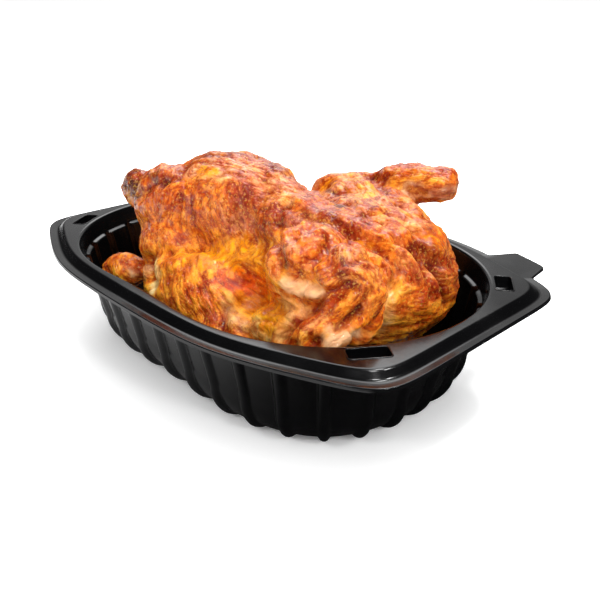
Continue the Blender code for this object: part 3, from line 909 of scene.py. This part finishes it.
class Skin:
    """The bird's base surface, with the ways to find places on it."""

    def __init__(self, piece):
        vertices = piece.data.vertices
        self.points, self.normals = np.empty((2, len(vertices), 3))
        vertices.foreach_get("co", self.points.reshape(-1))
        vertices.foreach_get("normal", self.normals.reshape(-1))
        self.points /= MM
        self.tree = BVHTree.FromObject(piece, bpy.context.evaluated_depsgraph_get())
        self.strands = strand_field(self)

    def seen(self, pixels):
        """Image points laid on the surface; one that misses it takes the nearest surface point."""
        placed = []
        eye = Vector(CAMERA_PLACE * MM)
        for pixel in pixels:
            direction = Vector(sight_line(pixel)).normalized()
            hit = self.tree.ray_cast(eye, direction)[0]
            if hit is None:
                reach = (Vector(self.points.mean(axis=0) * MM) - eye).length
                hit = self.tree.find_nearest(eye + direction * reach)[0]
            placed.append(np.array(hit) / MM)
        return placed

    def laid(self, points):
        """Points in millimetres moved to the nearest surface point."""
        return [np.array(self.tree.find_nearest(Vector(point) * MM)[0]) / MM for point in points]

    def rows(self, seen, hidden, count):
        """Both tables' rows, each as its line laid on the surface and its first few settings."""
        rows = [(self.seen(row[count:]), *row[:count]) for row in seen.values()]
        return rows + [(self.laid(row[count:]), *row[:count]) for row in hidden.values()]

    def distance(self, line):
        """Distance of every vertex to a broken line."""
        if len(line) == 1:
            return np.linalg.norm(self.points - line[0], axis=1)
        nearest = np.full(len(self.points), np.inf)
        for start, end in zip(line, line[1:]):
            run = end - start
            along = np.clip((self.points - start) @ run / max(run @ run, 1e-6), 0.0, 1.0)
            gap = np.linalg.norm(self.points - start - along[:, None] * run, axis=1)
            nearest = np.minimum(nearest, gap)
        return nearest


def fold_lift(skin):
    """Folds: each presses the skin in by its depth times exp(-(distance / width)^2), beside a bank."""
    lift = np.zeros(len(skin.points))
    wander = FOLD_WANDER * lattice_noise(skin.points, FOLD_WANDER_SIZE, seed=11)
    for line, depth, width in skin.rows(SEEN_FOLDS, HIDDEN_FOLDS, 2):
        gap = skin.distance(line) + wander
        lift -= depth * np.exp(-((gap / width) ** 2))
        bank = (gap - BANK_DISTANCE * width) / (BANK_WIDTH * width)
        lift += BANK_HEIGHT * depth * np.exp(-(bank**2))
    return lift


def strand_field(skin):
    """Distance to the nearest guide line: its level lines are the way the skin's strands run."""
    gaps = [skin.distance(line) for line, in skin.rows(SEEN_GUIDES, HIDDEN_GUIDES, 0)]
    return np.min(gaps, axis=0)


def strand_noise(skin, spacing, length, seed):
    """Noise at p / length + d / spacing: its place moves fast across the strands, slowly along them."""
    place = skin.points / length + skin.strands[:, None] / spacing * STRAND_STEP
    return lattice_noise(place, size=1.0, seed=seed)


def creases(skin, spacing, length, seed, share):
    """1 in the narrow valleys where strand noise crosses zero, and 0 elsewhere."""
    return smooth_step(1.0 - np.abs(strand_noise(skin, spacing, length, seed)) / share)


def wrinkle_lift(skin):
    """Narrow creases between rounded strands, in two sizes, stronger in some patches."""
    patch = 0.65 + 0.55 * lattice_noise(skin.points, size=12.0, seed=23)
    coarse = 0.5 - creases(skin, *COARSE_CREASES, share=0.42)
    fine = 0.4 - creases(skin, *FINE_CREASES, share=0.45)
    return patch * (coarse + 0.8 * fine)


def crag_lift(skin, settings):
    """Browned, blistered crust: noise in three sizes, a broad one, and a middle and a fine one folded."""
    broad = BROAD_CRAGS[0] * fractal_noise(skin.points, *BROAD_CRAGS[1:])
    middle = MIDDLE_CRAGS[0] * ridge_noise(skin.points * (1.0, 1.0, 0.75), *MIDDLE_CRAGS[1:])
    fine = FINE_CRAGS[0] * ridge_noise(skin.points, *FINE_CRAGS[1:])
    return settings.crag * (broad + middle + fine)


def skin_colours(skin, lift):
    """Colour of every vertex, from patches and strokes, with painted shade in creases and hollows and
    painted sheen; alpha is how much grain it shows.
    """
    points = skin.points
    tone = {name: np.array(colour) for name, colour in TONES.items()}
    level = points[:, 2] + UPPER_SKIN_WANDER * lattice_noise(points, size=26.0, seed=60)
    height = smooth_step((level - UPPER_SKIN_FROM) / UPPER_SKIN_RISE)[:, None]
    patchy = smooth_step(0.5 + 0.8 * fractal_noise(points, size=16.0, seed=61))[:, None]
    # the upper skin takes a share of painted sheen
    upper = mixed(mixed(tone["rust"], tone["amber"], patchy), tone["rose"], PAINTED_SHEEN_SHARE)
    # painted light: the lower skin is painted brighter
    lower = mixed(tone["amber"], tone["gold"], patchy) * LOWER_SKIN_PAINTED_LIGHT
    colours = mixed(lower, upper, height)
    ragged = fractal_noise(points, size=6.0, seed=81)
    ragged += 0.6 * strand_noise(skin, spacing=3.0, length=9.0, seed=84)
    grain = np.ones((len(points), 1))
    for line, width, name, strength in skin.rows(SEEN_STROKES, HIDDEN_STROKES, 3):
        gap = skin.distance(line) / width + 0.6 * ragged
        weight = strength * smooth_step(1.5 - gap)[:, None]
        colours = mixed(colours, tone[name], weight)
        grain = mixed(grain, CALM_TONES.get(name, 1.0), weight)
    spots = fractal_noise(points, size=5.0, seed=91)
    spots += 0.8 * strand_noise(skin, spacing=2.4, length=8.0, seed=92)
    red = RED_SPOTS * smooth_step(2.0 * spots - 0.3)[:, None] * grain
    pale = PALE_SPOTS * smooth_step(-2.0 * spots - 0.4)[:, None] * grain
    colours = mixed(mixed(colours, tone["russet"], red), tone["gold"], pale)
    # painted shade: the darker colour that the creases take
    crease_shade_colour = colours * CREASE_SHADE_TINT
    # pale flecks: gold low down, and painted sheen higher up
    fleck = 3.2 * strand_noise(skin, spacing=1.9, length=7.0, seed=62) - 0.55
    pale = PALE_FLECKS * smooth_step(fleck)[:, None] * grain
    colours = mixed(colours, mixed(tone["gold"], tone["rose"], height), pale)
    coarse = creases(skin, *COARSE_CREASES, share=0.2)
    fine = 0.75 * creases(skin, *FINE_CREASES, share=0.28)
    colours = mixed(colours, crease_shade_colour, CREASE_SHADE_SHARE * np.maximum(coarse, fine)[:, None] * grain)
    # painted shade in the hollows, darker where the skin is pressed in further
    hollow_shade = smooth_step(-lift / HOLLOW_SHADE_DEPTH)[:, None]
    colours = mixed(colours, colours * HOLLOW_SHADE_TINT, HOLLOW_SHADE_SHARE * hollow_shade * grain)
    return np.column_stack([linear_colour(colours), grain])


def linear_colour(colour):
    """Display colour to linear light, by the usual power of 2.2."""
    return np.clip(colour, 0.0, 1.0) ** 2.2


def skin_material(settings):
    """Greasy browned skin: painted tones, fine strands and specks, a wet coat and soft flesh."""
    nodes = Nodes(bpy.data.materials.new("roast_chicken_skin"))
    place = nodes.add("TexCoord").outputs["Object"]
    painted = nodes.add("Attribute", attribute_name="skin_colour")
    strands = nodes.add("Attribute", attribute_name="skin_strands").outputs["Fac"]
    along = nodes.add("VectorMath", {0: place, "Scale": 190.0}, operation="SCALE").outputs["Vector"]
    across = nodes.maths("MULTIPLY", strands, 0.75)
    strand_inputs = {"W": across, "Scale": 1.0, "Detail": 3.0, "Roughness": 0.6, "Vector": along}
    strand = nodes.add("TexNoise", strand_inputs, noise_dimensions="4D").outputs["Fac"]
    mottle = nodes.noise(place, scale=420.0, detail=4.0)
    crinkle = nodes.noise(place, scale=260.0, detail=4.0, roughness=0.6, noise_type="RIDGED_MULTIFRACTAL")
    fleck = nodes.noise(place, scale=800.0, detail=3.0)
    blotch = nodes.noise(place, scale=250.0, detail=5.0, roughness=0.62, distortion=0.6)
    colour = painted.outputs["Color"]
    # each texture, the strengths it gives and the range of its values that they are spread over
    layers = (
        (blotch, (0.0, 0.6, 0.51, 0.60), BLOTCH_TINT, "MULTIPLY"),
        (strand, (0.85, 0.0, 0.36, 0.5), STRAND_TINT, "MULTIPLY"),
        (mottle, (0.0, 0.7, 0.55, 0.72), SPECK_TINT, "MULTIPLY"),
        (fleck, (0.0, 0.65, 0.54, 0.72), FLECK_TINT, "SCREEN"),
    )
    for texture, spread, tint, blend in layers:
        share = nodes.maths("MULTIPLY", nodes.spread(texture, *spread), painted.outputs["Alpha"])
        layer = {"Fac": share, "Color1": colour, "Color2": (*tint, 1.0)}
        colour = nodes.add("MixRGB", layer, blend_type=blend).outputs["Color"]
    nodes.link(colour, "Base Color")
    nodes.link(nodes.spread(mottle, 0.30, 0.55), "Roughness")
    low = nodes.bump(strand, strength=0.9, distance=0.0015)
    middle = nodes.bump(crinkle, strength=0.8, distance=0.0009, under=low)
    nodes.link(middle, "Coat Normal")
    nodes.link(nodes.bump(mottle, strength=0.45, distance=0.0009, under=middle), "Normal")
    nodes.shade(
        Subsurface_Weight=settings.softness,
        Subsurface_Radius=(1.0, 0.55, 0.25),
        Subsurface_Scale=1.5 * MM,
        Coat_Weight=settings.grease,
        Coat_Roughness=0.06,
        Coat_IOR=1.5,
        IOR=1.45,
        Specular_IOR_Level=0.08,
    )
    return nodes.owner


class BirdSettings(bpy.types.PropertyGroup):
    """Mesh size, relief and finish of the bird."""

    voxel: FloatProperty(
        name="Voxel", description="Mesh size of the fused skin", default=1.05 * MM, unit="LENGTH")
    soften: IntProperty(name="Soften", description="Smoothing passes after the lobes are fused", default=26)
    crag: FloatProperty(name="Crags", description="Height of the crust's roughness", default=1.0)
    softness: FloatProperty(name="Softness", description="Light that passes under the skin", default=0.12)
    grease: FloatProperty(name="Grease", description="Weight of the wet coat", default=1.0)


class ROAST_OT_bird(bpy.types.Operator):
    """Fuse the muscles, crease and wrinkle the skin, and paint its browning, with painted shade in its
    creases and hollows and painted sheen on top
    """

    bl_idname = "roast.bird"
    bl_label = "Chicken"

    def execute(self, context):
        settings = context.scene.roast_bird
        bird = fused_lobes(settings)
        skin = Skin(bird)
        shape = fold_lift(skin) + wrinkle_lift(skin) + crag_lift(skin, settings)
        colours = skin_colours(skin, shape)
        points = skin.points + skin.normals * shape[:, None]
        low, high = (np.array(corner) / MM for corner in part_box("chicken"))
        points = np.clip(points, low, high)
        bird.data.vertices.foreach_set("co", (points * MM).ravel())
        paint = bird.data.color_attributes.new("skin_colour", "FLOAT_COLOR", "POINT")
        paint.data.foreach_set("color", colours.ravel())
        strands = bird.data.attributes.new("skin_strands", "FLOAT", "POINT")
        strands.data.foreach_set("value", skin.strands)
        bird.data.shade_smooth()
        bird.data.update()
        dress(bird, skin_material(settings), "chicken")
        return {"FINISHED"}


# ---- stage


def heading_vector(heading, height):
    """Unit vector towards a compass heading and an elevation, both in degrees."""
    heading, height = math.radians(heading), math.radians(height)
    level = math.cos(height)
    return (level * math.cos(heading), level * math.sin(heading), math.sin(height))


def add_windows(nodes, place, windows, total):
    """Add soft windows to a brightness: each shines where the direction's dot product passes an edge."""
    for heading, height, radius, edge, level in windows:
        facing = nodes.maths("DOT_PRODUCT", place, heading_vector(heading, height), "VectorMath")
        outside, inside = (math.cos(math.radians(radius + side * edge)) for side in (1, -1))
        pane = nodes.spread(facing, 0.0, level, outside, inside, interpolation_type="SMOOTHSTEP")
        total = nodes.maths("ADD", total, pane)
    return total


def studio_world(settings):
    """A dim room with soft windows, and with fills that light it but don't show in mirrors."""
    nodes = Nodes(bpy.data.worlds.new("studio"), "Background")
    place = nodes.add("TexCoord").outputs["Generated"]
    lit = add_windows(nodes, place, STUDIO_FILLS, settings.room_level)
    room = nodes.by_ray("Is Glossy Ray", lit, ROOM_IN_MIRRORS)
    lit = add_windows(nodes, place, STUDIO_WINDOWS, room)
    nodes.link(nodes.by_ray("Is Camera Ray", lit, 1.0), "Strength")
    nodes.shade(Color=(1.0, 1.0, 1.0, 1.0))
    bpy.context.scene.world = nodes.owner


def floor_material():
    """White paper that mirrors show with a painted shadow, dark under the tray, and painted light, paler
    towards one heading.
    """
    nodes = Nodes(bpy.data.materials.new("floor_white"))
    place = nodes.add("TexCoord").outputs["Object"]
    way = nodes.maths("DOT_PRODUCT", place, heading_vector(FLOOR_PALE_HEADING, 0.0), "VectorMath")
    # painted shadow under the tray and painted light towards one heading, seen only in mirrors
    mirrored_floor_shading = nodes.spread(way, FLOOR_PAINTED_SHADOW, FLOOR_PALE, FLOOR_PAINTED_SHADOW_FROM, FLOOR_PALE_FROM,
                         interpolation_type="SMOOTHSTEP")
    level = nodes.by_ray("Is Glossy Ray", FLOOR_WHITE, mirrored_floor_shading)
    nodes.link(nodes.by_ray("Is Camera Ray", level, FLOOR_TO_CAMERA), "Base Color")
    nodes.shade(Roughness=0.9, Specular_IOR_Level=0.0)
    return nodes.owner


class StageSettings(bpy.types.PropertyGroup):
    """Floor and light."""

    floor_size: FloatProperty(
        name="Floor", description="Side of the floor", default=60.0, unit="LENGTH")
    room_level: FloatProperty(
        name="Room", description="Brightness of the room between its windows", default=0.25)


class ROAST_OT_stage(bpy.types.Operator):
    """Lay the pale floor, and set the studio light and the camera"""

    bl_idname = "roast.stage"
    bl_label = "Stage"

    def execute(self, context):
        settings = context.scene.roast_stage
        half = settings.floor_size / 2 / MM
        corners = np.array([(-half, -half, 0), (half, -half, 0), (half, half, 0), (-half, half, 0)])
        floor = mesh_piece("floor", corners - (0.0, 0.0, FLOOR_SINK), [(0, 1, 2, 3)], smooth=False)
        floor.data.materials.append(floor_material())
        studio_world(settings)
        lens = bpy.data.cameras.new("view")
        lens.sensor_width = SENSOR_MM
        lens.lens = SENSOR_MM * FOCAL_PIXELS / (2 * IMAGE_CENTRE)
        lens.clip_start = 0.01
        camera = bpy.data.objects.new("view", lens)
        camera.location = CAMERA_PLACE * MM
        camera.rotation_euler = (math.pi / 2 - CAMERA_DIP, 0.0, CAMERA_HEADING - math.pi / 2)
        context.scene.collection.objects.link(camera)
        context.scene.camera = camera
        context.scene.view_settings.view_transform = "Standard"
        return {"FINISHED"}


class ROAST_PT_panel(bpy.types.Panel):
    """Lists the pieces in the 3D view's sidebar"""

    bl_label = "Roast chicken"
    bl_idname = "ROAST_PT_panel"
    bl_space_type = "VIEW_3D"
    bl_region_type = "UI"
    bl_category = "Roast chicken"

    def draw(self, context):
        for operator, name in zip((ROAST_OT_tray, ROAST_OT_bird, ROAST_OT_stage), SETTINGS):
            box = self.layout.box()
            box.operator(operator.bl_idname)
            for field in SETTINGS[name].__annotations__:
                box.prop(getattr(context.scene, name), field)


SETTINGS = {"roast_tray": TraySettings, "roast_bird": BirdSettings, "roast_stage": StageSettings}
CLASSES = (*SETTINGS.values(), ROAST_OT_tray, ROAST_OT_bird, ROAST_OT_stage, ROAST_PT_panel)


def register():
    for cls in CLASSES:
        bpy.utils.register_class(cls)
    for name, group in SETTINGS.items():
        setattr(bpy.types.Scene, name, PointerProperty(type=group))


def unregister():
    for name in SETTINGS:
        delattr(bpy.types.Scene, name)
    for cls in reversed(CLASSES):
        bpy.utils.unregister_class(cls)


def main():
    register()
    bpy.ops.roast.stage()
    bpy.ops.roast.tray()
    bpy.ops.roast.bird()


if __name__ == "__main__":
    main()
